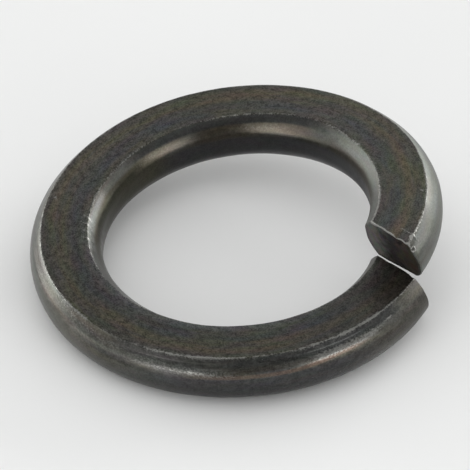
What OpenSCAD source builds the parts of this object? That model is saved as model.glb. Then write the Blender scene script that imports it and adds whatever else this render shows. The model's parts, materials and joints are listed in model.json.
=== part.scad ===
// Spring lock washer: one turn of flat-topped, round-sided wire, coiled as a left-hand helix and cut slanting.
// The coil axis is Z, the lowest corner lies at z = 0, and the split faces +X.
// Seen from above, the wire climbs clockwise from the lower end, so the raised end bites when a nut backs off.

/* [Wire section] */

// Bore diameter, measured on the land that the coiling mandrel leaves
inner_diameter = 18.6; // [10:0.1:60]
// Radial width of the wire, from the bore land to the outer crown
section_width = 5; // [4:0.1:10]
// Height of the wire between its two flat faces
thickness = 3.55; // [2.4:0.05:8]
// How far each round side stands out from the corner where it would meet the flats
side_bulge = 0.9; // [0.5:0.05:1.2]
// Rounding where a flat face runs into a round side
edge_radius = 0.2; // [0.05:0.05:0.4]
// Height of the cylindrical land around the bore
land_height = 1.2; // [0.4:0.1:1.6]

/* [Coil] */

// Climb of the unloaded wire over a full turn
rise_per_turn = 3.4; // [1:0.05:6]

/* [Split] */

// Clear width of the split at mid wire, along the circumference
split_gap = 0.3; // [0.2:0.05:1.5]
// Turn of the cut in plan, away from straight across the wire
cut_skew = 25.5; // [0:0.5:30]
// Lean of the cut from the coil axis, so that the raised end overhangs the lower one
cut_lean = 13.25; // [0:0.25:18]

/* [Hidden] */

// Stations along the wire, and steps in each curve of its section
stations = 120;
flat_steps = 2;
edge_steps = 2;
side_steps = 5;

// Depth the wire reaches into the mandrel, and the clearance just outside the land's edge
press_depth = 0.1;
land_margin = 0.012;

bore_radius = inner_diameter / 2;
half_height = thickness / 2;
half_land = land_height / 2;

// One arc makes each round side; the land's edge lies on the inner one
side_radius = (pow(half_height, 2) + pow(side_bulge, 2)) / (2 * side_bulge);
land_angle = asin((half_land + land_margin) / side_radius);

// Radii of the outer crown, of mid wire and of the centres of the two side arcs
outer_crown = bore_radius + section_width;
wire_radius = (bore_radius + outer_crown) / 2;
outer_centre = outer_crown - side_radius;
inner_centre = bore_radius + land_margin + side_radius * cos(land_angle);

// Centre of the rounding between flat and side, measured from the centre of the side's arc
edge_height = half_height - edge_radius;
edge_reach = sqrt(pow(side_radius - edge_radius, 2) - pow(edge_height, 2));
edge_angle = atan2(edge_height, edge_reach);

// Angle the wire covers: both cuts lean, so the ends pass each other in plan and still stay apart
lean_offset = tan(cut_lean) * rise_per_turn;
turn_angle = 360 - (split_gap - lean_offset) / wire_radius * 180 / PI;
start_angle = (turn_angle - 360) / 2;

// Upper half of a round side down to an angle above mid wire, as [out from the arc's centre, height]
function upper_side(last_angle) = concat(
    [for (i = [0 : edge_steps - 1]) let (a = 90 - (90 - edge_angle) * i / edge_steps)
        [edge_reach + edge_radius * cos(a), edge_height + edge_radius * sin(a)]],
    [for (i = [0 : side_steps]) let (a = edge_angle + (last_angle - edge_angle) * i / side_steps)
        [side_radius * cos(a), side_radius * sin(a)]]);

// The same points below mid wire, in reverse order
function below(points) = [for (i = [len(points) - 1 : -1 : 0]) [points[i][0], -points[i][1]]];

// Points between the two ends of a flat at one height
function flat(from, to, height) = [for (i = [1 : flat_steps - 1])
    [from + (to - from) * i / flat_steps, height]];

// Inner side as [radius, height], from the top flat to the mandrel and on to the bottom flat
inner_upper = concat(
    [for (p = upper_side(land_angle)) [inner_centre - p[0], p[1]]],
    [[bore_radius - press_depth, half_land - press_depth]]);
inner_side = concat(inner_upper, below(inner_upper));

// Outer side as [radius, height], from the top flat over the crown to the bottom flat
outer_upper = [for (p = upper_side(0)) [outer_centre + p[0], p[1]]];
outer_side = concat(outer_upper, below([for (i = [0 : len(outer_upper) - 2]) outer_upper[i]]));

// Closed section of the wire as [radius, height above mid wire], clockwise from the outer end of the top flat
flat_outer = outer_centre + edge_reach;
flat_inner = inner_centre - edge_reach;
section = concat(
    outer_side,
    flat(flat_outer, flat_inner, -half_height),
    [for (i = [len(inner_side) - 1 : -1 : 0]) inner_side[i]],
    flat(flat_inner, flat_outer, half_height));

// Angle that turns a section point into the plane of the cut, found by Newton's method
function cut_miss(p, a) = p[0] * sin(a) + tan(cut_skew) * (p[0] * cos(a) - wire_radius)
    + tan(cut_lean) * (p[1] - rise_per_turn * a / 360);
function cut_rate(p, a) = (p[0] * cos(a) - tan(cut_skew) * p[0] * sin(a)) * PI / 180
    - tan(cut_lean) * rise_per_turn / 360;
function cut_turn(p, a = 0, left = 8) = left == 0
    ? a
    : cut_turn(p, a - cut_miss(p, a) / cut_rate(p, a), left - 1);

// Section points with their turn, and the height of mid wire that sets the lowest corner on z = 0
turned = [for (p = section) [p[0], p[1], cut_turn(p)]];
base_height = -min([for (q = turned) q[1] - rise_per_turn * q[2] / 360]);

// Place of a turned section point, a given angle along the wire from the lower end
function on_wire(q, way) = let (a = start_angle - way + q[2])
    [q[0] * cos(a), q[0] * sin(a), base_height + q[1] + rise_per_turn * (way - q[2]) / 360];

wire_points = [for (s = [0 : stations]) each
    [for (q = turned) on_wire(q, turn_angle * s / stations)]];

around = len(section);
skin = [for (s = [0 : stations - 1]) for (i = [0 : around - 1])
    let (a = s * around + i, b = s * around + (i + 1) % around)
    each [[a, b, a + around], [b, b + around, a + around]]];
lower_cut = [for (i = [around - 1 : -1 : 0]) i];
raised_cut = [for (i = [0 : around - 1]) stations * around + i];

mandrel_length = 2 * (thickness + rise_per_turn);

// The whole washer: the coiled wire, with the land pressed into its inner side by the mandrel
module spring_washer() {
    color([0.27, 0.26, 0.24])
    difference() {
        polyhedron(points = wire_points, faces = concat(skin, [lower_cut, raised_cut]), convexity = 6);
        translate([0, 0, base_height + rise_per_turn / 2])
        cylinder(h = mandrel_length, r = bore_radius, center = true, $fn = 180);
    }
}

spring_washer();
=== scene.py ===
"""Looks of a spring lock washer: dark, oiled spring steel with worn edges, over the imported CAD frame.

The CAD node is replaced by one finer mesh of the same wire: same bore, crown, section, helix and split.
It adds what the real surface has and the CAD solid leaves out: waves and marks from rolling, ragged worn
edges, a crease along the front, and the sheared ends with their burr, lip, rollover and dent.

Places on the washer are given on the wire, in mm: along it from the lower cut, out from the bore's axis,
and up from mid wire. Seen from the camera, the front lies near 13 along the wire, the left near 32, the far
side near 50, the right near 69 and the raised cut at 74.6. Angles in the section are counted from level.
The mesh itself is in metres, in the frame's own axes.
"""

import functools
import json
import math

import bpy
import numpy as np
from mathutils import Matrix, Vector, noise


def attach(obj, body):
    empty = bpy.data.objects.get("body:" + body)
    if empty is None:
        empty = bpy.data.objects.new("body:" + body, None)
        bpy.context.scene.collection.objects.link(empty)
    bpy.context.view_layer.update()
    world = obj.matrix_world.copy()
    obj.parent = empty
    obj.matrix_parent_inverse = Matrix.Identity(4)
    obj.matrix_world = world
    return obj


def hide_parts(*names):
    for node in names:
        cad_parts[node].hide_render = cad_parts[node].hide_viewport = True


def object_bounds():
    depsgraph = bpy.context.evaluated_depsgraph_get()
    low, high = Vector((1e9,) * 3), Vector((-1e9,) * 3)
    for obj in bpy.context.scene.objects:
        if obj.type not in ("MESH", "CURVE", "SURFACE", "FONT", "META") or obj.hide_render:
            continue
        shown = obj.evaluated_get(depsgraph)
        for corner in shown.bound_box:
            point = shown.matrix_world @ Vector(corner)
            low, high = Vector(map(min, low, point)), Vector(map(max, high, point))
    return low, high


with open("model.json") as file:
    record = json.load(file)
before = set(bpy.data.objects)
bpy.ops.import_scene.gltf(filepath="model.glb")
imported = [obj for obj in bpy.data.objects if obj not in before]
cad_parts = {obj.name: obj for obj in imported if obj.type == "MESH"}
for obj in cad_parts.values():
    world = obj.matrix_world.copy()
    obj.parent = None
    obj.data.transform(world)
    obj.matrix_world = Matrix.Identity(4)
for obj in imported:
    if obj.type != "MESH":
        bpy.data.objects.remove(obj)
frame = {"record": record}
cad_low, cad_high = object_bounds()

MM = 0.001
FULL_TURN = 2 * math.pi
QUARTER_TURN = math.pi / 2

# ---------------------------------------------------------------- sizes, as in the CAD part

bore_mount = next(mount for mount in frame["record"]["mounts"] if mount["name"] == "bore")
BORE_RADIUS = bore_mount["dims"]["r_mm"]
CROWN_RADIUS = (cad_high.y - cad_low.y) / 2 / MM
THICKNESS = 3.55
SIDE_BULGE = 0.9
LAND_HEIGHT = 1.2
RISE_PER_TURN = 3.4
SPLIT_GAP = 0.3
CUT_SKEW = math.radians(25.5)
CUT_LEAN = math.radians(13.25)

# The long edges are sharper than in the CAD part, and the land's corners are eased
EDGE_RADIUS = 0.07
LAND_EASE = 0.06

half_height = THICKNESS / 2
wire_radius = (BORE_RADIUS + CROWN_RADIUS) / 2
side_radius = (half_height**2 + SIDE_BULGE**2) / (2 * SIDE_BULGE)
land_angle = math.asin(LAND_HEIGHT / 2 / side_radius)
outer_centre = CROWN_RADIUS - side_radius
inner_centre = BORE_RADIUS + side_radius * math.cos(land_angle)
edge_height = half_height - EDGE_RADIUS
edge_reach = math.sqrt((side_radius - EDGE_RADIUS) ** 2 - edge_height**2)
edge_angle = math.atan2(edge_height, edge_reach)
outer_edge = outer_centre + edge_reach
inner_edge = inner_centre - edge_reach
rise = RISE_PER_TURN / FULL_TURN
turn_angle = FULL_TURN - (SPLIT_GAP - math.tan(CUT_LEAN) * RISE_PER_TURN) / wire_radius
start_angle = (turn_angle - FULL_TURN) / 2
length = turn_angle * wire_radius

# ---------------------------------------------------------------- marks of the real piece

# A swell is level between two places along the wire: its size, these two, and how far it fades beyond them.
# A bump is round: its size, its place and its reach.

# Rolling waves: height, and spacing along and across the wire
WAVES = ((0.020, 9.0, 2.6), (0.008, 2.4, 1.0), (0.003, 12.0, 0.6))

# Both sides are flattened under the top edge; along the front the flat ends in a crease with a faint ridge
FLATTENING = 0.035
CREASE_ANGLE = math.radians(27)
CREASE_DEPTH = 0.085
CREASE_SWELL = (1.0, 7.0, 21.0, 4.5)
RIDGE_HEIGHT = 0.02
RIDGE_WIDTH = 0.06
RIDGE_FADES = (11.0, 15.0)
RIDGE_LOSS = 0.8
BORE_FULLNESS = 0.03
FULL_BORE_SWELL = (1.0, 43.5, 58.0, 3.0)
FULL_BORE_HEIGHT = 1.33
FULL_BORE_REACH = 0.25

# How far the top edges wander outwards, and between which distances from an edge this dies away
INNER_SWELLS = ((0.08, 44.0, 51.0, 3.0), (0.06, 30.0, 38.0, 4.0), (0.08, 60.0, 67.0, 3.0))
INNER_BUMPS = ((0.24, 57.5, 3.5), (0.05, 20.0, 5.0))
OUTER_BUMPS = ((-0.08, 69.0, 5.0), (-0.05, 50.0, 8.0))
DRIFT_MARGIN = 0.1
DRIFT_WIDTH = 0.9

# Worn long edges: how far the wear reaches and how strong it is, with the swells of both
OUTER_WEAR_REACH = 0.10
WIDER_OUTER_WEAR = (0.04, 6.0, 20.0, 3.0)
OUTER_WEAR_SWELLS = ((-0.6, 19.5, 22.5, 1.5), (0.4, 3.0, 9.0, 2.0))
INNER_WEAR_REACH = 0.11
INNER_WEAR = 0.7
WEAKER_INNER_WEAR = (-0.1, 40.0, 56.0, 4.0)
INNER_END_WEAR = 0.6
INNER_END_GROWS = (68.0, 72.0)

# Rubbed places on the sides, partly worn metal and partly painted highlights where the front lamps catch
# them: swells of wear, each with its middle height and reach; the left one climbs
LEFT_RUB_AND_HIGHLIGHT = ((0.20, 14.0, 24.0, 5.0), (0.20, 14.3, 17.8, 2.0))
LEFT_RUB_AND_HIGHLIGHT_FROM = 15.0
LEFT_RUB_AND_HIGHLIGHT_HEIGHT = 0.9
LEFT_RUB_AND_HIGHLIGHT_CLIMB = 0.06
LEFT_RUB_AND_HIGHLIGHT_REACH = 0.30
RIGHT_RUB_AND_HIGHLIGHT = ((0.66, 4.8, 8.2, 1.3),)
RIGHT_RUB_AND_HIGHLIGHT_HEIGHT = 1.10
RIGHT_RUB_AND_HIGHLIGHT_REACH = 0.24
# The bore's two are painted highlights only, laid in as wear where the front lamps catch its far side
PAINTED_BORE_HIGHLIGHTS = ((0.20, 53.5, 56.5, 2.0), (0.20, 43.5, 46.0, 1.5))
PAINTED_BORE_HIGHLIGHTS_HEIGHT = 1.10
PAINTED_BORE_HIGHLIGHTS_REACH = 0.22

# A nick in each rubbed place of the front, as wear, place and reach along the wire, height and reach in it
NICKS = ((0.8, 3.4, 0.4, 1.27, 0.06), (0.8, 15.9, 0.14, 1.0, 0.10))

# Raised end: the blade dragged the outer half of the top edge down and left a burr along the inner half
BURR_SPAN = (10.1, 10.5, 11.9, 12.3)
BURR_HEIGHT = 0.04
BURR_BACK = 0.02
BURR_REACH = 0.11
ROLLOVER_INNER = 12.25
ROLLOVER_EASE = 0.14
ROLLOVER_END = 0.98
ROLLOVER_DEPTH = 0.14
LIP_HEIGHT = 0.025
LIP_REACH = 0.09
TORN_RADIUS = 13.28
TORN_BACK = 0.70
SHEAR_ROUGHNESS = 0.035

# How far the raised cut's top edge stands back from the plane of the cut: a bump, a ripple, whose rate is in
# radians per mm, and two steps, as size, first and last radius
SETBACK_BUMPS = ((0.03, 10.9, 0.3),)
RIPPLE_SETBACK = 0.02
RIPPLE_RATE = 7.5
SETBACK_STEPS = ((0.15, 12.0, 12.8), (0.05, 13.1, 13.5))

# Its bottom edge stands out at the bore, and a step takes it back towards the outside
BOTTOM_OVERHANG = 0.15
BOTTOM_STEP = (0.24, 10.0, 13.4)

# Height, up or down, at which the top and bottom edges of a cut begin to stand out or back
CUT_EDGE_FROM = 0.7

# How far the lower cut's top edge stands out, less towards the outside, with two nicks as bumps
LOWER_LIP = 0.12
LOWER_LIP_STEP = (0.04, 10.5, 13.5)
LOWER_LIP_NICKS = ((0.07, 11.0, 0.2), (0.05, 13.2, 0.15))

# Rounding of the edges of the cuts, and how much more or less it is in places
CUT_ROUNDING = 0.07
RAISED_OUTER_ROUNDING = 0.16
RAISED_BORE_ROUNDING = 0.10
RAISED_TOP_SHARPNESS = 0.035
LOWER_TOP_SHARPNESS = 0.02
LOWER_CORNER_ROUNDING = 0.16

# A small round dent with a rim beside the raised cut, on the outer side
DENT_ANGLE = math.radians(38)
DENT_BACK = 0.12
DENT_RADIUS = 0.16
DENT_DEPTH = 0.09
RIM_HEIGHT = 0.035

# Wear of the lip, the rim, the dent and the torn spot, where a burr's is 1
LIP_WEAR = 0.35
RIM_WEAR = 1.3
DENT_WEAR = -2.0
TORN_WEAR = 0.8

# Scratches over the inner edge at the left, every other one shorter, and bright specks on top, as along and
# radius
SCRATCH_FIRST = 32.4
SCRATCH_STEP = 0.8
SCRATCH_COUNT = 4
SCRATCH_REACH = 0.42
SCRATCH_SHORTER = 0.07
SCRATCH_WIDTH = 0.09
SCRATCH_WEAR = 0.55
SPECKS = ((35.3, 12.94), (63.7, 10.17), (69.4, 13.08))
SPECK_RADIUS = 0.13
SPECK_WEAR = 0.9

# How deep worn metal lies under the oxide
WEAR_DEPTH = 0.02

# ---------------------------------------------------------------- how finely the mesh follows them

EDGE_STEPS = 5
CROWN_STEPS = 11
CROWN_CROWDING = 1.6
BORE_STEPS = 11
BORE_CROWDING = 1.3
DENT_SPAN = 1.5 * DENT_RADIUS / side_radius
DENT_STEPS = 9
TOP_STEPS = 15
BOTTOM_STEPS = 7
BODY_STEPS = 880
END_STEPS = 60
END_LENGTH = 3.0
ROUNDING_STEPS = 4
FACE_STEPS = 20
FACE_FIRST_SHARE = 0.96
FACE_CROWDING = 1.2
NEWTON_STEPS = 8

# ---------------------------------------------------------------- section of the wire


def arc(centre, radius, angles):
    """Points on an arc in the section's plane."""
    return np.column_stack([centre[0] + radius * np.cos(angles), centre[1] + radius * np.sin(angles)])


def below(points):
    """The same points mirrored below mid wire, in reverse order."""
    return points[::-1] * (1, -1)


def flat(first, last, steps):
    """Points strictly between two points, somewhat closer together near the ends."""
    even = np.linspace(0, 1, steps + 1)
    share = (even + (1 - np.cos(even * math.pi)) / 2) / 2
    return first + share[1:-1, None] * (last - first)


def soft_bore(points):
    """The inner side arc cut off by the land at the bore radius, with the corner between them eased."""
    depth = points[:, 0] - BORE_RADIUS
    eased = (depth + np.sqrt(depth**2 + LAND_EASE**2)) / 2
    return np.column_stack([BORE_RADIUS + eased, points[:, 1]])


def side_angles(steps, crowding):
    """Angles down a side arc from its top edge to level, crowded towards the edge for its wear."""
    spread = np.linspace(0, 1, steps + 1)[1:] ** crowding
    return edge_angle * (1 - spread)


def outline():
    """The closed section of the wire as [radius, height], clockwise from the outer end of the top flat."""
    corner_angles = np.linspace(QUARTER_TURN, edge_angle, EDGE_STEPS + 1)
    corner = arc((outer_edge, edge_height), EDGE_RADIUS, corner_angles)
    crown_angles = side_angles(CROWN_STEPS, CROWN_CROWDING)
    crown = arc((outer_centre, 0), side_radius, crown_angles)
    dented = np.linspace(DENT_ANGLE + DENT_SPAN, DENT_ANGLE - DENT_SPAN, DENT_STEPS)
    upper_crown = arc((outer_centre, 0), side_radius, np.sort(np.append(crown_angles, dented))[::-1])
    outer = np.vstack([corner, upper_crown, below(crown[:-1]), below(corner)])
    bore_angles = math.pi - side_angles(BORE_STEPS, BORE_CROWDING)
    bore = soft_bore(arc((inner_centre, 0), side_radius, bore_angles))
    upper = np.vstack([corner * (-1, 1) + (outer_edge + inner_edge, 0), bore])
    inner = np.vstack([upper, below(upper[:-1])])[::-1]
    bottom = flat(outer[-1], inner[0], BOTTOM_STEPS)
    return np.vstack([outer, bottom, inner, flat(inner[-1], outer[0], TOP_STEPS)])


def section_normals(points):
    """Outward normals of the closed section."""
    along = np.roll(points, -1, axis=0) - np.roll(points, 1, axis=0)
    normals = np.column_stack([-along[:, 1], along[:, 0]])
    return normals / np.linalg.norm(normals, axis=1, keepdims=True)


def cut_turn(radius, height):
    """Angle that turns a section point into the plane of the slanting cut, by Newton's method."""
    angle = np.zeros_like(radius)
    for _ in range(NEWTON_STEPS):
        miss = (radius * np.sin(angle) + math.tan(CUT_SKEW) * (radius * np.cos(angle) - wire_radius)
                + math.tan(CUT_LEAN) * (height - rise * angle))
        rate = (radius * np.cos(angle) - math.tan(CUT_SKEW) * radius * np.sin(angle)
                - math.tan(CUT_LEAN) * rise)
        angle -= miss / rate
    return angle


# Round a cut the outline shrinks by inset_step for each mm of inset, straight towards the section's middle
section = outline()
normals = section_normals(section)
middle = np.array([wire_radius, 0.0])
inward = (middle - section) / np.linalg.norm(middle - section, axis=1, keepdims=True)
inset_step = -inward / (inward * normals).sum(axis=1, keepdims=True)
around = len(section)
base_height = -(section[:, 1] - rise * cut_turn(section[:, 0], section[:, 1])).min()

# ---------------------------------------------------------------- what the real surface adds


def rise_to(value, first, last):
    """0 before the first value and 1 past the last, smooth between."""
    share = np.clip((value - first) / (last - first), 0, 1)
    return share * share * (3 - 2 * share)


def bell(value, middle, width):
    """1 at the middle, fading to nothing within about two widths of it."""
    return np.exp(-(((value - middle) / width) ** 2))


def step(value, size, first, last):
    """0 before the first value and its size past the last."""
    return size * rise_to(value, first, last)


def plateau(value, start, first, last, end):
    """1 from the first value to the last, rising to it from the start and falling after it to the end."""
    return rise_to(value, start, first) * (1 - rise_to(value, last, end))


def swell(along, size, first, last, fading):
    """Its size between two places along the wire, falling to 0 outside them."""
    return size * plateau(along, first - fading, first, last, last + fading)


def all_swells(along, swells):
    """Several swells added."""
    return sum(swell(along, *values) for values in swells)


def all_bumps(value, bumps):
    """Several round bumps added."""
    return sum(size * bell(value, at, reach) for size, at, reach in bumps)


def ripple(places, along, across, seed):
    """Smooth noise over the wire, about -1 to 1, with its own spacing along and across it."""
    scaled = places / (along, across, across) + 11.7 * seed
    values = [noise.noise(place) for place in scaled.reshape(-1, 3).tolist()]
    return 2 * np.array(values).reshape(places.shape[:-1])


def near_edge(radius, height, edge_at, width):
    """How close section points are to the long edge at one side, above and below."""
    return np.exp(-((radius - edge_at) ** 2 + (np.abs(height) - half_height) ** 2) / width**2)


def on_top(height):
    """1 over the top flat and its edges, 0 over the sides and below."""
    return rise_to(height, 1.3, 1.7)


def rolling_marks(places):
    """Shallow waves from coiling, with the finer lengthwise marks of rolling."""
    return sum(wave_height * ripple(places, along, across, seed)
               for seed, (wave_height, along, across) in enumerate(WAVES, start=1))


def outer_profile(along, radius, height):
    """The outer side under its top edge: flattened all round, with a crease and ridge along the front."""
    angle = np.arctan2(height, radius - outer_centre)
    share = np.clip((angle - CREASE_ANGLE) / (edge_angle - CREASE_ANGLE), 0, 1)
    along_front = swell(along, *CREASE_SWELL)
    ridge = bell(angle, CREASE_ANGLE - RIDGE_WIDTH / 2, RIDGE_WIDTH)
    ridge = ridge * (1 - RIDGE_LOSS * rise_to(along, *RIDGE_FADES))
    depth = FLATTENING + (CREASE_DEPTH - FLATTENING) * along_front
    lift = RIDGE_HEIGHT * along_front * ridge - depth * np.sin(share * math.pi)
    return (radius > outer_centre) * lift


def inner_profile(along, radius, height):
    """The bore's side under its top edge: flattened, but fuller along the far side."""
    angle = np.arctan2(height, inner_centre - radius)
    share = np.clip((angle - CREASE_ANGLE) / (edge_angle - CREASE_ANGLE), 0, 1)
    far = swell(along, *FULL_BORE_SWELL)
    fuller = BORE_FULLNESS * bell(height, FULL_BORE_HEIGHT, FULL_BORE_REACH)
    fuller = fuller * rise_to(half_height - height, 0.0, 0.12)
    return (radius < inner_centre) * (far * fuller - (1 - far) * FLATTENING * np.sin(share * math.pi))


def edge_drift(along, radius, height):
    """Sideways wander of the two top edges, which the mandrel and the rolls left uneven."""
    inner = all_swells(along, INNER_SWELLS) + all_bumps(along, INNER_BUMPS)
    inner = inner * (1 - rise_to(radius, inner_edge + DRIFT_MARGIN, inner_edge + DRIFT_WIDTH))
    outer = all_bumps(along, OUTER_BUMPS)
    outer = outer * rise_to(radius, outer_edge - DRIFT_WIDTH, outer_edge - DRIFT_MARGIN)
    return (inner + outer) * rise_to(height, 0.3, 1.6)


# ---------------------------------------------------------------- where the oxide is worn off


def edge_wear(places, along, radius, height):
    """Share of wear along the four long edges, ragged and uneven, stronger outside than in the bore."""
    ragged = 0.55 + 0.22 * ripple(places, 0.5, 0.4, 5) + 0.30 * ripple(places, 4.5, 2.0, 6)
    outer_reach = OUTER_WEAR_REACH + swell(along, *WIDER_OUTER_WEAR)
    outer = near_edge(radius, height, outer_edge + 0.03, outer_reach)
    outer = outer * (1 + all_swells(along, OUTER_WEAR_SWELLS))
    inner = near_edge(radius, height, inner_edge - 0.02, INNER_WEAR_REACH)
    inner_end = INNER_END_WEAR * rise_to(along, *INNER_END_GROWS)
    inner = inner * (INNER_WEAR + swell(along, *WEAKER_INNER_WEAR) + inner_end)
    return np.clip(ragged, 0, 1) * (outer + inner)


def front_rubbing_and_highlights(along, height):
    """Places on the outer side, partly worn and partly painted highlights: two along the front, left and
    right, with a nick in each.
    """
    left_height = LEFT_RUB_AND_HIGHLIGHT_HEIGHT + LEFT_RUB_AND_HIGHLIGHT_CLIMB * (along - LEFT_RUB_AND_HIGHLIGHT_FROM)
    left = all_swells(along, LEFT_RUB_AND_HIGHLIGHT) * bell(height, left_height, LEFT_RUB_AND_HIGHLIGHT_REACH)
    right = all_swells(along, RIGHT_RUB_AND_HIGHLIGHT) * bell(height, RIGHT_RUB_AND_HIGHLIGHT_HEIGHT, RIGHT_RUB_AND_HIGHLIGHT_REACH)
    nicks = sum(nick_wear * bell(along, at, reach) * bell(height, up, up_reach)
                for nick_wear, at, reach, up, up_reach in NICKS)
    return left + right + nicks


def bore_highlights(along, height):
    """Painted highlights in the bore, laid in as wear: two along its far side, where the front lamps catch
    it.
    """
    return all_swells(along, PAINTED_BORE_HIGHLIGHTS) * bell(height, PAINTED_BORE_HIGHLIGHTS_HEIGHT, PAINTED_BORE_HIGHLIGHTS_REACH)


def side_rubbing_and_highlights(along, radius, height):
    """Rubbed places and painted highlights on the round sides, short of the long edges."""
    outside = radius > outer_edge + 0.03
    in_bore = radius < inner_edge - 0.03
    return outside * front_rubbing_and_highlights(along, height) + in_bore * bore_highlights(along, height)


def small_scratches(along, radius, height):
    """A few short scratches over the top inner edge at the left, and three bright specks."""
    scratches = 0 * along
    for i in range(SCRATCH_COUNT):
        reach = SCRATCH_REACH - SCRATCH_SHORTER * (i % 2)
        over_edge = 1 - rise_to(radius, inner_edge + reach, inner_edge + reach + 0.15)
        over_edge = over_edge * rise_to(height, 1.2, 1.6)
        scratches += SCRATCH_WEAR * bell(along, SCRATCH_FIRST + i * SCRATCH_STEP, SCRATCH_WIDTH) * over_edge
    specks = 0 * along
    for at, out in SPECKS:
        specks += SPECK_WEAR * bell(np.hypot(along - at, radius - out), 0.0, SPECK_RADIUS) * on_top(height)
    return scratches * (radius < wire_radius) + specks


def cut_edge_wear(places, radius, height, back):
    """Bare metal round the raised cut, all along its top edge and faintly round the rest."""
    uneven = 0.9 + 0.5 * ripple(places, 0.4, 0.4, 9)
    top_edge = on_top(height) * rise_to(radius, 9.9, 10.3)
    return uneven * bell(back, 0.0, 0.085) * (0.15 + 0.85 * top_edge)


# ---------------------------------------------------------------- the two sheared ends


def raised_end(places, radius, height, back, share):
    """Lift, drop and wear of the skin near the raised cut: burr, rollover and a rimmed dent."""
    top = on_top(height)
    uneven = 1 + 0.5 * ripple(places, 0.6, 0.5, 7)
    burr = uneven * bell(back, BURR_BACK, BURR_REACH) * plateau(radius, *BURR_SPAN) * top
    outer_half = rise_to(radius, ROLLOVER_INNER, ROLLOVER_INNER + ROLLOVER_EASE) * top
    rollover = ROLLOVER_DEPTH * outer_half * np.clip(1 - back / ROLLOVER_END, 0, 1)
    lip = uneven * outer_half * bell(back, ROLLOVER_END, LIP_REACH)
    angle = np.arctan2(height, radius - outer_centre)
    off = np.hypot((angle - DENT_ANGLE) * side_radius, back - DENT_BACK) / DENT_RADIUS
    on_skin = (radius > outer_centre) * (1 - rise_to(share, 0.0, 0.12))
    rim = on_skin * bell(off, 1.0, 0.30)
    dent = on_skin * bell(off, 0.0, 0.6)
    lift = BURR_HEIGHT * burr + LIP_HEIGHT * lip + RIM_HEIGHT * rim - DENT_DEPTH * dent
    torn = top * bell(radius, TORN_RADIUS, 0.07) * bell(back, TORN_BACK, 0.20)
    end_wear = burr + LIP_WEAR * lip + RIM_WEAR * rim + DENT_WEAR * dent + TORN_WEAR * torn
    return lift, rollover, end_wear


def cut_setback(radius, height):
    """How far the top and bottom edges of the raised cut stand back from the plane of the cut."""
    waves = all_bumps(radius, SETBACK_BUMPS) + RIPPLE_SETBACK * np.sin(radius * RIPPLE_RATE)
    top_edge = waves + sum(step(radius, *values) for values in SETBACK_STEPS)
    bottom_edge = step(radius, *BOTTOM_STEP) - BOTTOM_OVERHANG
    top_edge = top_edge * rise_to(height, CUT_EDGE_FROM, half_height)
    return top_edge + bottom_edge * rise_to(-height, CUT_EDGE_FROM, half_height)


def lower_lip(radius, height):
    """How far the top edge of the lower cut stands out past the plane of the cut, with two nicks in it."""
    lip = LOWER_LIP - step(radius, *LOWER_LIP_STEP) - all_bumps(radius, LOWER_LIP_NICKS)
    return lip * rise_to(height, CUT_EDGE_FROM, half_height)


def end_rounding(raised):
    """Radius of the rounding round one cut, at every point of the section."""
    radius, height = section[:, 0], section[:, 1]
    rounding = np.full(around, CUT_ROUNDING)
    if raised:
        rounding += RAISED_OUTER_ROUNDING * rise_to(radius, 13.5, 13.9) * rise_to(height, -1.6, 0.6)
        rounding += RAISED_BORE_ROUNDING * near_edge(radius, height, inner_edge, 0.25) * (height > 0)
        rounding -= RAISED_TOP_SHARPNESS * on_top(height) * plateau(radius, 10.4, 10.8, 12.8, 13.2)
    else:
        rounding -= LOWER_TOP_SHARPNESS * on_top(height)
        rounding += LOWER_CORNER_ROUNDING * near_edge(radius, height, outer_edge, 0.5) * (height > 0)
    return rounding


# ---------------------------------------------------------------- mesh


def end_rings(raised):
    """Rings of one end, from the middle of its cut over the rounding and along the skin.

    Each holds inset, share and distance along mid wire from the cut, as in wire_rings."""
    angles = np.linspace(0, QUARTER_TURN, ROUNDING_STEPS + 1)[1:-1]
    shares = np.linspace(FACE_FIRST_SHARE, 0, FACE_STEPS) ** FACE_CROWDING
    skin = np.linspace(0, 1, END_STEPS, endpoint=False)
    rounding = end_rounding(raised)
    rings = [(rounding, share + 0 * rounding, 0 * rounding) for share in shares]
    rings += [(rounding * (1 - math.sin(a)), 0 * rounding, rounding * (1 - math.cos(a))) for a in angles]
    rings += [(0 * rounding, 0 * rounding, rounding + (END_LENGTH - rounding) * share) for share in skin]
    return np.array(rings)


def wire_rings():
    """Every ring of the mesh, from the middle of the lower cut to the middle of the raised one.

    Returns three grids over [ring, section point]: inset from the outline, share of the way to the
    section's middle, and distance along mid wire from the lower cut."""
    lower = end_rings(raised=False)
    raised = end_rings(raised=True)
    raised[:, 2] = length - raised[:, 2]
    along = np.linspace(END_LENGTH, length - END_LENGTH, BODY_STEPS)
    body = np.zeros((BODY_STEPS, 3, around))
    body[:, 2] = along[:, None]
    grid = np.concatenate([lower, body, raised[::-1]])
    return grid[:, 0], grid[:, 1], grid[:, 2]


def on_helix(radius, height, travelled):
    """Places in the frame's axes of section points carried along the helix by an angle."""
    polar = start_angle - travelled
    level = base_height + height + rise * travelled
    return np.stack([radius * np.cos(polar), radius * np.sin(polar), level], axis=-1)


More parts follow.
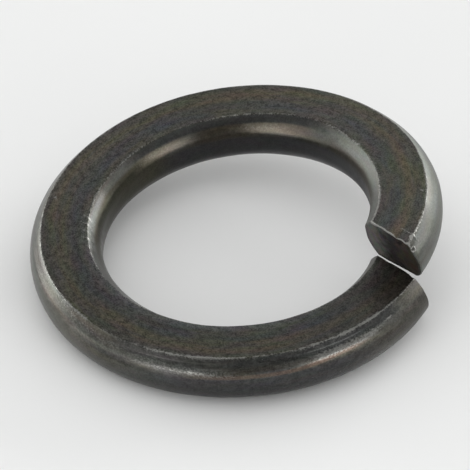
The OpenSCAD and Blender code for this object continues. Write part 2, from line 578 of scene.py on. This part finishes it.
def shape_wire():
    """Places of the mesh's points, their place on the wire, how worn they are, with painted highlights on
    the sides counted as wear, and whether they lie on a flat or on a cut."""
    inset, share, along = wire_rings()
    radius = np.broadcast_to(section[:, 0], along.shape)
    height = np.broadcast_to(section[:, 1], along.shape)
    back = length - along
    skin = np.stack([along, radius, height], axis=-1)
    lift = rolling_marks(skin) + outer_profile(along, radius, height) + inner_profile(along, radius, height)
    end_lift, drop, end_wear = raised_end(skin, radius, height, back, share)
    wear = edge_wear(skin, along, radius, height)
    lift += end_lift - WEAR_DEPTH * wear
    # Besides real wear, this adds the painted highlights on the sides, which the material shows as bare
    # metal
    wear += end_wear + cut_edge_wear(skin, radius, height, back) + side_rubbing_and_highlights(along, radius, height)
    wear += small_scratches(along, radius, height)
    wear *= 1 - rise_to(share, 0.0, 0.05)
    edge = section + lift[..., None] * normals + inset[..., None] * inset_step
    edge[..., 0] += edge_drift(along, radius, height)
    edge[..., 1] -= drop
    place = edge + (middle - edge) * share[..., None]
    radius, height = place[..., 0], place[..., 1]
    face = np.stack([0 * radius, radius, height], axis=-1)
    sheared = SHEAR_ROUGHNESS * ripple(face, 1.0, 1.3, 8) * rise_to(share, 0.0, 0.25)
    setback = cut_setback(radius, height) * (1 - rise_to(back, 0.0, 1.0))
    along = along - setback - lower_lip(radius, height) * (1 - rise_to(along, 0.0, 1.0))
    along = along + np.where(along < length / 2, 1, -1) * sheared * (share > 0)
    travelled = along / wire_radius - cut_turn(radius, height)
    wire_place = np.stack([travelled * wire_radius, radius, height], axis=-1)
    on_flat = rise_to(np.abs(section[:, 1]), half_height - 0.045, half_height - 0.015)
    on_flat = np.broadcast_to(on_flat, along.shape)
    on_cut = rise_to(share, 0.0, 0.06)
    return on_helix(radius, height, travelled), wire_place, np.clip(wear, 0, 1), on_flat, on_cut


places, wire_place, wear, on_flat, on_cut = shape_wire()


def with_middles(values):
    """Values of a grid of rings as one list, followed by the middles of the first and the last ring."""
    listed = values.reshape(len(values) * around, -1)
    first_middle = values[0].reshape(around, -1).mean(axis=0)
    last_middle = values[-1].reshape(around, -1).mean(axis=0)
    return np.vstack([listed, first_middle, last_middle])


def add_attribute(mesh, name, kind, field, values):
    """Store one value per point, for the material to read."""
    mesh.attributes.new(name, kind, "POINT").data.foreach_set(field, values.astype(np.float32).ravel())


def add_object(name, data):
    """A new object in the scene."""
    made = bpy.data.objects.new(name, data)
    bpy.context.scene.collection.objects.link(made)
    return made


def make_wire(name):
    """The grid of rings as one closed mesh, with a point at the middle of each cut."""
    count = len(places)
    first = np.arange(count - 1)[:, None] * around + np.arange(around)
    second = np.arange(count - 1)[:, None] * around + np.roll(np.arange(around), -1)
    quads = np.stack([first, first + around, second + around, second], axis=-1).reshape(-1, 4)
    lower_middle, raised_middle = count * around, count * around + 1
    last = (count - 1) * around
    fans = [(lower_middle, i, (i + 1) % around) for i in range(around)]
    fans += [(raised_middle, last + (i + 1) % around, last + i) for i in range(around)]
    mesh = bpy.data.meshes.new(name)
    mesh.from_pydata((with_middles(places) * MM).tolist(), [], quads.tolist() + fans)
    add_attribute(mesh, "wire_place", "FLOAT_VECTOR", "vector", with_middles(wire_place))
    add_attribute(mesh, "wear", "FLOAT", "value", with_middles(wear))
    add_attribute(mesh, "flat", "FLOAT", "value", with_middles(on_flat))
    add_attribute(mesh, "cut", "FLOAT", "value", with_middles(on_cut))
    mesh.shade_smooth()
    return add_object(name, mesh)


washer = make_wire("coiled_wire")

# ---------------------------------------------------------------- building blocks of the materials


def add(tree, kind, settings, inputs):
    """A new node with its settings and inputs. An input given as a socket is linked. Returns its outputs."""
    node = tree.nodes.new(kind)
    for name, value in settings.items():
        setattr(node, name, value)
    for name, value in inputs.items():
        if isinstance(value, bpy.types.NodeSocket):
            tree.links.new(value, node.inputs[name])
        else:
            node.inputs[name].default_value = value
    return node.outputs


def attribute(tree, name, output):
    """An attribute of the mesh."""
    return add(tree, "ShaderNodeAttribute", {"attribute_name": name}, {})[output]


def wire_coordinates(tree):
    """Distance along the wire, radius and height of the shaded point."""
    parts = add(tree, "ShaderNodeSeparateXYZ", {}, {"Vector": attribute(tree, "wire_place", "Vector")})
    return parts["X"], parts["Y"], parts["Z"]


def compute(tree, operation, *values):
    """One step of arithmetic on sockets or numbers."""
    return add(tree, "ShaderNodeMath", {"operation": operation}, dict(enumerate(values)))[0]


def vector_compute(tree, operation, *values):
    """One step of arithmetic on colours or vectors."""
    return add(tree, "ShaderNodeVectorMath", {"operation": operation}, dict(enumerate(values)))["Vector"]


def product(tree, *values):
    """All the values multiplied."""
    return functools.reduce(lambda first, second: compute(tree, "MULTIPLY", first, second), values)


def total(tree, *values):
    """All the values added."""
    return functools.reduce(lambda first, second: compute(tree, "ADD", first, second), values)


def largest(tree, *values):
    """The largest of the values."""
    return functools.reduce(lambda first, second: compute(tree, "MAXIMUM", first, second), values)


def fade(tree, value, start, end, low=0.0, high=1.0):
    """A value mapped smoothly from one range to another."""
    inputs = {"Value": value, "From Min": start, "From Max": end, "To Min": low, "To Max": high}
    return add(tree, "ShaderNodeMapRange", {"interpolation_type": "SMOOTHSTEP"}, inputs)["Result"]


def stretch(tree, value, start, first, last, end):
    """1 from the first value to the last, rising to it from the start and falling after it to the end."""
    return product(tree, fade(tree, value, start, first), fade(tree, value, end, last))


def near(tree, value, middle, reach, full, low=0.0, high=1.0):
    """High where a value is no farther than full from the middle, falling to low at the reach."""
    distance = compute(tree, "ABSOLUTE", compute(tree, "SUBTRACT", value, middle))
    return fade(tree, distance, reach, full, low, high)


def blend(tree, share, first, second):
    """Two colours mixed by a share."""
    return add(tree, "ShaderNodeMix", {"data_type": "RGBA"}, {0: share, 6: first, 7: second})[2]


def scaled_colour(tree, colour, factor):
    """A colour made lighter or darker by a factor."""
    return add(tree, "ShaderNodeVectorMath", {"operation": "SCALE"}, {0: colour, "Scale": factor})["Vector"]


def texture(tree, along, across, detail=2.0, shift=0.0, output="Fac"):
    """Noise laid on the wire, with its own spacing in mm along and across it."""
    place = attribute(tree, "wire_place", "Vector")
    scale = (1 / along, 1 / across, 1 / across)
    scaled = vector_compute(tree, "MULTIPLY_ADD", place, scale, (shift, 3.1 * shift, 1.7 * shift))
    return add(tree, "ShaderNodeTexNoise", {}, {"Vector": scaled, "Scale": 1.0, "Detail": detail})[output]


def patches(tree, along, across, shift, start, end, low=0.0, high=1.0):
    """Long soft patches of noise, with its values from start to end mapped from low to high."""
    return fade(tree, texture(tree, along, across, 3.0, shift), start, end, low, high)


def hue_mottle(tree, colour, along, across, amount, shift):
    """Small patches where a colour leans to red, green or blue."""
    tint = texture(tree, along, across, 2.0, shift, "Color")
    lean = 1 - amount / 2
    tint = vector_compute(tree, "MULTIPLY_ADD", tint, (amount, amount, amount), (lean, lean, lean))
    return vector_compute(tree, "MULTIPLY", colour, tint)


# ---------------------------------------------------------------- blackened steel

RELIEF_DEPTH = 0.02

BARE_STEEL = (0.19, 0.19, 0.178, 1)

OXIDE = (0.054, 0.052, 0.046, 1)
BROWN = (0.079, 0.067, 0.048, 1)
OLIVE = (0.064, 0.065, 0.044, 1)
BLUE_GREY = (0.047, 0.049, 0.050, 1)
PALE_GREY = (0.076, 0.078, 0.076, 1)
# Dull oxide towards the lower end, also used as painted shade under the top edges
DULL_OXIDE_AND_SHADE = (0.036, 0.038, 0.038, 1)
END_BROWN = (0.056, 0.048, 0.040, 1)

SIDE_OXIDE = (0.094, 0.095, 0.088, 1)
SIDE_BROWN = (0.094, 0.082, 0.064, 1)
SIDE_DARK = (0.050, 0.045, 0.037, 1)
SIDE_BLUE = (0.056, 0.056, 0.059, 1)
SIDE_GREEN = (0.103, 0.109, 0.098, 1)
SIDE_PALE = (0.215, 0.220, 0.198, 1)
COPPER = (0.122, 0.090, 0.072, 1)

BORE_OLIVE = (0.046, 0.044, 0.031, 1)
BORE_BROWN = (0.054, 0.045, 0.034, 1)
BORE_BLUE = (0.033, 0.034, 0.037, 1)
# Painted highlight colour for the far side of the bore
BORE_HIGHLIGHT_TAN = (0.125, 0.110, 0.086, 1)

SHEARED = (0.036, 0.033, 0.032, 1)
SHEARED_BROWN = (0.058, 0.046, 0.036, 1)
SHEARED_PALE = (0.125, 0.120, 0.115, 1)

# Bands on the flats: middle radius, distance from it at which the band is gone, and at which it is full
BROWN_BAND = (12.35, 0.9, 0.2)
BLUE_BAND = (11.2, 0.7, 0.2)

# The pale band beside the bore: radii, and places along the wire, at which it is gone and is full
PALE_BAND = (10.9, 10.4)
PALE_STARTS = (40.0, 26.0)

# Spans along the wire: where a colour starts, is full, starts to fade and ends
DULL_SPAN = (2.0, 5.0, 6.0, 12.0)
COPPER_SPAN = (5.5, 8.0, 14.5, 18.0)

# Zones of colour on the sides: share of the colour, its span along the wire, and the heights at which it is
# gone and is full
LEFT_WALL = (0.55, (20.0, 23.0, 30.0, 34.0), (0.9, 1.15))
LEFT_FOOT = (0.25, (22.0, 25.0, 34.0, 40.0), (1.1, 0.9))
LOW_FRONT = (0.8, (4.0, 9.0, 16.0, 22.0), (0.7, 0.45))
# Painted shade: a dark band under the top edge along the front
SHADE_UNDER_EDGE = (1.0, (2.8, 4.2, 20.5, 23.5), (1.15, 1.3))
LOW_LEFT_BORE = (0.9, (28.0, 33.0, 43.0, 46.0), (1.42, 1.15))
# Painted shade: a dark band under the top edge along the far side of the bore
SHADE_UNDER_BORE_EDGE = (0.8, (40.5, 43.5, 57.0, 61.0), (1.26, 1.42))

# Top of the left wall's dark zone: heights at which it is gone and is full
LEFT_WALL_TOP = (1.68, 1.50)

# The pale right wall: places along the wire at which it is gone and is full, at its start and at its end,
# and the same heights of its foot, which goes on to the cut
RIGHT_WALL_STARTS = (58.0, 63.0)
RIGHT_WALL_ENDS = (73.0, 70.5)
RIGHT_FOOT = (0.9, 0.6)

# Height of the copper's middle: two places along the wire, then the height at each
COPPER_HEIGHTS = (11.5, 7.5, 0.68, 0.89)

# In the bore, places along the wire or heights with the distances at which a colour is gone and is full
BORE_MIDDLE = (50.3, 3.6, 1.6)
# Two tan painted highlights along the far side of the bore, where the front lamps catch it, and their height
BORE_HIGHLIGHT_FIRST = (44.7, 3.8, 0.8)
BORE_HIGHLIGHT_SECOND = (55.4, 4.0, 1.8)
BORE_HIGHLIGHT_HEIGHT = (1.05, 0.42, 0.22)
BORE_FOOT_STARTS = (43.0, 47.0)
BORE_FOOT_HEIGHTS = (0.7, 0.3)


def face_brightness(tree, along):
    """Slow change along the top: lighter past the left, dipping at the far side, a little darker short of
    the lower end, and much lighter at the lower cut, painted light against the raised end's shade.
    """
    return total(
        tree,
        fade(tree, along, 27.0, 40.0, 0.99, 1.17),
        near(tree, along, 50.0, 4.0, 1.0, 0.0, -0.1),
        fade(tree, along, 54.0, 61.0, 0.0, 0.13),
        fade(tree, along, 7.0, 3.0, 0.0, -0.12),
        # Painted light: lifts the shade under the raised end on the lower end's top
        fade(tree, along, 2.8, 0.6, 0.0, 0.75))


def face_bands(tree, along, radius):
    """Oxide of the flats in bands along the wire: brown outside, blue-grey inside, olive in patches."""
    brown = product(tree, 0.75, patches(tree, 7.0, 0.8, 4.0, 0.38, 0.60), near(tree, radius, *BROWN_BAND))
    olive = patches(tree, 4.0, 0.9, 9.0, 0.50, 0.64, 0.0, 0.6)
    blue = patches(tree, 5.0, 0.9, 14.0, 0.36, 0.58, 0.2, 1.0)
    blue = product(tree, 0.8, blue, near(tree, radius, *BLUE_BAND))
    pale = product(tree, 0.85, fade(tree, along, *PALE_STARTS), fade(tree, radius, *PALE_BAND))
    colour = blend(tree, brown, OXIDE, BROWN)
    colour = blend(tree, olive, colour, OLIVE)
    colour = blend(tree, blue, colour, BLUE_GREY)
    return blend(tree, pale, colour, PALE_GREY)


def face_colour(tree, along, radius):
    """Colour of the flats: banded oxide, dull and then brown towards the lower end."""
    colour = face_bands(tree, along, radius)
    dull = product(tree, 0.5, stretch(tree, along, *DULL_SPAN))
    colour = blend(tree, dull, colour, DULL_OXIDE_AND_SHADE)
    colour = blend(tree, fade(tree, along, 6.0, 3.5, 0.0, 0.6), colour, END_BROWN)
    colour = hue_mottle(tree, colour, 2.2, 0.7, 0.40, 61.0)
    return scaled_colour(tree, colour, face_brightness(tree, along))


def zone(tree, side, along, height, share, span, heights):
    """Share of a colour in one zone of a side, over a stretch of the wire and from one height on."""
    return product(tree, share, side, stretch(tree, along, *span), fade(tree, height, *heights))


def side_darkness(tree, along, height, outside, in_bore):
    """Share of dark oxide on the sides: streaks, low in the bore, by the lower end, on the left wall."""
    streaks = patches(tree, 8.0, 0.6, 26.0, 0.48, 0.66, 0.0, 0.6)
    low_at_right = product(tree, fade(tree, along, 58.0, 62.0), fade(tree, height, 1.35, 0.85))
    low_in_bore = product(tree, in_bore, largest(tree, fade(tree, height, 1.1, 0.3), low_at_right))
    lower_end = fade(tree, along, 6.0, 2.0, 0.0, 0.7)
    left_wall = zone(tree, outside, along, height, *LEFT_WALL)
    left_wall = product(tree, left_wall, fade(tree, height, *LEFT_WALL_TOP))
    return largest(tree, streaks, low_in_bore, lower_end, left_wall)


def pale_walls(tree, colour, along, height, outside):
    """Paler metal on the outer side: at its foot on the left, and over its whole height on the right, more
    under the edge, until close to the raised end."""
    colour = blend(tree, zone(tree, outside, along, height, *LEFT_FOOT), colour, SIDE_PALE)
    before_end = largest(tree, fade(tree, along, *RIGHT_WALL_ENDS), fade(tree, height, *RIGHT_FOOT))
    right_wall = product(tree, outside, before_end, fade(tree, along, *RIGHT_WALL_STARTS),
                         fade(tree, height, 1.25, 1.60, 0.2, 0.7))
    return blend(tree, right_wall, colour, SIDE_PALE)


def front_marks(tree, colour, along, height, outside):
    """Colours along the front of the outer side: blue below, painted shade under the edge, copper on the
    crease.
    """
    colour = blend(tree, zone(tree, outside, along, height, *LOW_FRONT), colour, SIDE_BLUE)
    # Painted shade under the top edge along the front
    painted_shade_under_edge = product(tree, zone(tree, outside, along, height, *SHADE_UNDER_EDGE),
                         fade(tree, along, 10.0, 13.0, 0.8, 0.5))
    colour = blend(tree, painted_shade_under_edge, colour, DULL_OXIDE_AND_SHADE)
    copper_height = fade(tree, along, *COPPER_HEIGHTS)
    copper = product(tree, 0.85, outside, stretch(tree, along, *COPPER_SPAN),
                     near(tree, height, copper_height, 0.20, 0.06))
    return blend(tree, copper, colour, COPPER)


def bore_marks(tree, colour, along, height, in_bore):
    """Colours in the bore: olive at the left, brown at the far middle between two tan painted highlights,
    painted shade above these and blue at the foot."""
    colour = blend(tree, zone(tree, in_bore, along, height, *LOW_LEFT_BORE), colour, BORE_OLIVE)
    far_middle = product(tree, 0.8, in_bore, near(tree, along, *BORE_MIDDLE))
    colour = blend(tree, far_middle, colour, BORE_BROWN)
    # Tan painted highlights on either side of the far middle, where the front lamps catch the bore
    beside_middle = largest(tree, near(tree, along, *BORE_HIGHLIGHT_FIRST), near(tree, along, *BORE_HIGHLIGHT_SECOND))
    painted_tan_highlight = product(tree, 0.8, in_bore, beside_middle, near(tree, height, *BORE_HIGHLIGHT_HEIGHT))
    colour = blend(tree, painted_tan_highlight, colour, BORE_HIGHLIGHT_TAN)
    # Painted shade under the top edge along the far side of the bore
    colour = blend(tree, zone(tree, in_bore, along, height, *SHADE_UNDER_BORE_EDGE), colour, DULL_OXIDE_AND_SHADE)
    foot = product(tree, 0.8, in_bore, fade(tree, along, *BORE_FOOT_STARTS),
                   fade(tree, height, *BORE_FOOT_HEIGHTS))
    return blend(tree, foot, colour, BORE_BLUE)


def side_colour(tree, along, radius, height):
    """Colour of the round sides: burnished oxide, browner in patches and greener at the right."""
    outside = fade(tree, radius, wire_radius - 0.1, wire_radius + 0.1)
    in_bore = compute(tree, "SUBTRACT", 1.0, outside)
    colour = blend(tree, patches(tree, 6.0, 0.7, 21.0, 0.46, 0.68, 0.0, 0.6), SIDE_OXIDE, SIDE_BROWN)
    colour = blend(tree, fade(tree, along, 56.0, 64.0, 0.0, 0.7), colour, SIDE_GREEN)
    colour = blend(tree, side_darkness(tree, along, height, outside, in_bore), colour, SIDE_DARK)
    colour = pale_walls(tree, colour, along, height, outside)
    colour = front_marks(tree, colour, along, height, outside)
    colour = bore_marks(tree, colour, along, height, in_bore)
    return hue_mottle(tree, colour, 2.0, 0.5, 0.2, 66.0)


def cut_colour(tree, radius):
    """Colour of the sheared ends: dark and mottled, brown outside and paler towards the bore."""
    place = total(tree, radius, patches(tree, 0.8, 0.7, 33.0, 0.35, 0.65, -0.35, 0.35))
    colour = blend(tree, fade(tree, place, 12.0, 13.2), SHEARED, SHEARED_BROWN)
    colour = blend(tree, fade(tree, place, 11.5, 10.0), colour, SHEARED_PALE)
    return hue_mottle(tree, colour, 0.7, 0.6, 0.9, 71.0)


def steel_colour(tree, on_flat, on_cut, worn, mottle, grain):
    """Oxide on flats, sides and cuts, freckled most on the flats, and bare metal where it is worn and
    where highlights are painted on the sides.
    """
    along, radius, height = wire_coordinates(tree)
    side = side_colour(tree, along, radius, height)
    colour = blend(tree, on_flat, side, face_colour(tree, along, radius))
    colour = blend(tree, on_cut, colour, cut_colour(tree, radius))
    front_wall = product(tree, 0.6, fade(tree, along, 30.0, 24.0), fade(tree, radius, 12.5, 13.0))
    depth = largest(tree, fade(tree, on_flat, 0.0, 1.0, 0.4, 1.0), front_wall)
    freckles = total(
        tree,
        fade(tree, mottle, 0.3, 0.7, -0.25, 0.25),
        fade(tree, grain, 0.3, 0.7, -0.3, 0.3))
    colour = scaled_colour(tree, colour, compute(tree, "MULTIPLY_ADD", freckles, depth, 1.0))
    bare = scaled_colour(tree, BARE_STEEL[:3], fade(tree, along, 70.5, 73.5, 1.0, 1.4))
    return blend(tree, worn, colour, bare)


def steel_roughness(tree, on_flat, on_cut, worn, mottle):
    """Smoother along the front, where it is worn and on the painted highlights, rougher on flats, on cuts
    and towards both ends.
    """
    along = wire_coordinates(tree)[0]
    unworn = total(
        tree,
        fade(tree, mottle, 0.3, 0.7, -0.04, 0.04),
        fade(tree, on_flat, 0.0, 1.0, 0.33, 0.38),
        fade(tree, along, 6.0, 2.0, 0.0, 0.12),
        fade(tree, along, 12.0, 16.0, -0.05, 0.0),
        fade(tree, along, 58.0, 66.0, 0.0, 0.15),
        product(tree, on_cut, 0.22))
    return compute(tree, "SUBTRACT", unworn, product(tree, worn, 0.1))


def steel_relief(tree, on_flat, mottle, grain):
    """Normals of the finest relief: pits and grain, softer on the sides, and marks drawn along the wire."""
    pits = total(tree, product(tree, mottle, 0.6), product(tree, grain, 0.35))
    pits = product(tree, pits, fade(tree, on_flat, 0.0, 1.0, 0.6, 1.0))
    drawn = texture(tree, 3.0, 0.12, 2.0, 50.0)
    relief = compute(tree, "MULTIPLY_ADD", drawn, 0.25, pits)
    inputs = {"Height": relief, "Strength": 1.0, "Distance": RELIEF_DEPTH * MM}
    return add(tree, "ShaderNodeBump", {}, inputs)["Normal"]


def steel_material():
    """Blackened spring steel: oxide over flats, sides and cuts, bare metal where the edges are worn and
    where highlights are painted on the sides.
    """
    material = bpy.data.materials.new("black_steel")
    material.use_nodes = True
    tree = material.node_tree
    on_flat = attribute(tree, "flat", "Fac")
    on_cut = attribute(tree, "cut", "Fac")
    mottle = texture(tree, 0.45, 0.35, 3.0, 30.0)
    grain = texture(tree, 0.12, 0.10, 1.0, 40.0)
    ragged = fade(tree, grain, 0.3, 0.7, -0.5, 0.5)
    # The wear attribute also holds the painted highlights on the sides, so they show as bare metal too
    ragged_wear = compute(tree, "MULTIPLY_ADD", ragged, 0.4, attribute(tree, "wear", "Fac"))
    worn = fade(tree, ragged_wear, 0.18, 0.82)
    shader = tree.nodes["Principled BSDF"]
    shader.inputs["Metallic"].default_value = 1.0
    tree.links.new(steel_colour(tree, on_flat, on_cut, worn, mottle, grain), shader.inputs["Base Color"])
    tree.links.new(steel_roughness(tree, on_flat, on_cut, worn, mottle), shader.inputs["Roughness"])
    tree.links.new(steel_relief(tree, on_flat, mottle, grain), shader.inputs["Normal"])
    return material


washer.data.materials.append(steel_material())
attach(washer, "root")
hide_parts("spring_washer")

# ---------------------------------------------------------------- table

TABLE_SIDE = 6.0
TABLE_GREY = (0.85, 0.855, 0.85)


def matt_material(name, colour, roughness, specular):
    """A plain matt material."""
    material = bpy.data.materials.new(name)
    material.use_nodes = True
    shader = material.node_tree.nodes["Principled BSDF"]
    shader.inputs["Base Color"].default_value = (*colour, 1)
    shader.inputs["Roughness"].default_value = roughness
    shader.inputs["Specular IOR Level"].default_value = specular
    return material


def rectangle(name, width, depth):
    """A flat rectangle about its own middle, facing up."""
    x, y = width / 2, depth / 2
    mesh = bpy.data.meshes.new(name)
    mesh.from_pydata([(-x, -y, 0), (x, -y, 0), (x, y, 0), (-x, y, 0)], [], [(0, 1, 2, 3)])
    return mesh


def rest_normal():
    """Up from the table: the washer rests on its lower tip and on its underside straight across it."""
    reach = edge_reach + outer_centre
    return Vector((RISE_PER_TURN / (4 * reach), RISE_PER_TURN / (FULL_TURN * reach), 1)).normalized()


def make_table():
    """A pale table that touches the washer from below, square to the way it rests."""
    up = rest_normal()
    lowest = (places.reshape(-1, 3) @ np.array(up)).min() * MM
    table = add_object("table", rectangle("table", TABLE_SIDE, TABLE_SIDE))
    table.rotation_mode = "QUATERNION"
    table.rotation_quaternion = up.to_track_quat("Z", "Y")
    table.location = up * lowest
    table.data.materials.append(matt_material("pale_table", TABLE_GREY, roughness=0.9, specular=0.1))


# ---------------------------------------------------------------- camera and light

# The camera, fitted to the washer's outline: turned to the right of the -Y axis, raised above level and
# rolled; then, in mm, its distance from the bore's middle and how far left of it and above it it is aimed
VIEW_TURN = math.radians(26.312)
VIEW_RAISE = math.radians(40.23)
VIEW_ROLL = math.radians(-7.193)
VIEW_DISTANCE = 518.656
AIM_LEFT = 0.296
AIM_UP = 1.416
LENS = 577.6
SENSOR_WIDTH = 36

WORLD_WHITE = (1.0, 1.0, 1.0, 1)


def view_direction(azimuth, elevation):
    """A direction: its azimuth is counted from the camera's, to the right. Both angles are in degrees."""
    turn = VIEW_TURN + math.radians(azimuth)
    lift = math.radians(elevation)
    return Vector((math.sin(turn) * math.cos(lift), -math.cos(turn) * math.cos(lift), math.sin(lift)))


def make_camera():
    """The scene's camera, at the photograph's place and angle."""
    right = Vector((math.cos(VIEW_TURN), math.sin(VIEW_TURN), 0))
    back = view_direction(0, math.degrees(VIEW_RAISE))
    up = back.cross(right)
    rolled_right = right * math.cos(VIEW_ROLL) + up * math.sin(VIEW_ROLL)
    rolled_up = up * math.cos(VIEW_ROLL) - right * math.sin(VIEW_ROLL)
    place = (back * VIEW_DISTANCE - rolled_right * AIM_LEFT + rolled_up * AIM_UP) * MM
    place.z += base_height * MM
    data = bpy.data.cameras.new("camera")
    data.lens = LENS
    data.sensor_width = SENSOR_WIDTH
    data.clip_start = 0.05
    data.clip_end = 20
    camera = add_object("camera", data)
    turn = Matrix((rolled_right, rolled_up, back)).transposed()
    camera.matrix_world = Matrix.Translation(place) @ turn.to_4x4()
    bpy.context.scene.camera = camera


def facing_washer(name, data, azimuth, elevation, distance):
    """A lamp or card at a distance in metres that faces the washer and isn't itself in the picture."""
    made = add_object(name, data)
    direction = view_direction(azimuth, elevation)
    made.location = direction * distance
    made.rotation_mode = "QUATERNION"
    made.rotation_quaternion = direction.to_track_quat("Z", "Y")
    made.visible_camera = False
    return made


def soft_light(name, azimuth, elevation, distance, width, height, power):
    """A rectangular lamp, with its size in metres and its power in watts."""
    lamp = bpy.data.lights.new(name, "AREA")
    lamp.shape = "RECTANGLE"
    lamp.size = width
    lamp.size_y = height
    lamp.energy = power
    facing_washer(name, lamp, azimuth, elevation, distance)


def grey_card(name, azimuth, elevation, distance, width, height, grey):
    """A matt card for the steel to reflect, placed and sized as a lamp is."""
    mesh = rectangle(name, width, height)
    mesh.materials.append(matt_material(name, (grey, grey, grey), roughness=1.0, specular=0.0))
    card = facing_washer(name, mesh, azimuth, elevation, distance)


def sine(degrees):
    """Height of a direction of length 1 at an elevation."""
    return math.sin(math.radians(degrees))


def make_world(foot, high, overhead, lean):
    """A pale tent: bright round its foot, dimmer half way up, bright again overhead.

    The lean makes it brighter behind the washer and dimmer on the camera's side."""
    world = bpy.data.worlds.new("studio")
    world.use_nodes = True
    tree = world.node_tree
    direction = add(tree, "ShaderNodeTexCoord", {}, {})["Generated"]
    height = add(tree, "ShaderNodeSeparateXYZ", {}, {"Vector": direction})["Z"]
    sides = fade(tree, height, sine(28), sine(50), foot, high)
    top = fade(tree, height, sine(58), sine(75), 0.0, overhead - high)
    behind = add(tree, "ShaderNodeVectorMath", {"operation": "DOT_PRODUCT"},
                 {0: direction, 1: view_direction(180, 0)})["Value"]
    leaning = compute(tree, "MULTIPLY_ADD", behind, lean, 1.0)
    background = tree.nodes["Background"]
    background.inputs["Color"].default_value = WORLD_WHITE
    tree.links.new(product(tree, total(tree, sides, top), leaning), background.inputs["Strength"])
    bpy.context.scene.world = world


make_table()
make_camera()
make_world(foot=0.98, high=0.7, overhead=1.25, lean=0.12)
grey_card("dark_gap", azimuth=0, elevation=27, distance=0.75, width=0.64, height=0.7, grey=0.3)
grey_card("dark_back", azimuth=180, elevation=8, distance=0.3, width=0.36, height=0.1, grey=0.04)
soft_light("left_front", azimuth=-40, elevation=9, distance=0.5, width=0.32, height=0.22, power=0.55)
soft_light("right_front", azimuth=43, elevation=9, distance=0.5, width=0.26, height=0.22, power=0.45)
soft_light("left_back", azimuth=-140, elevation=10, distance=1.2, width=1.5, height=0.3, power=8.5)
soft_light("right_back", azimuth=132, elevation=10, distance=1.2, width=1.5, height=0.3, power=8.5)
soft_light("left_side", azimuth=-100, elevation=7, distance=1.2, width=1.0, height=0.35, power=1.2)
bpy.context.scene.view_settings.view_transform = "Standard"
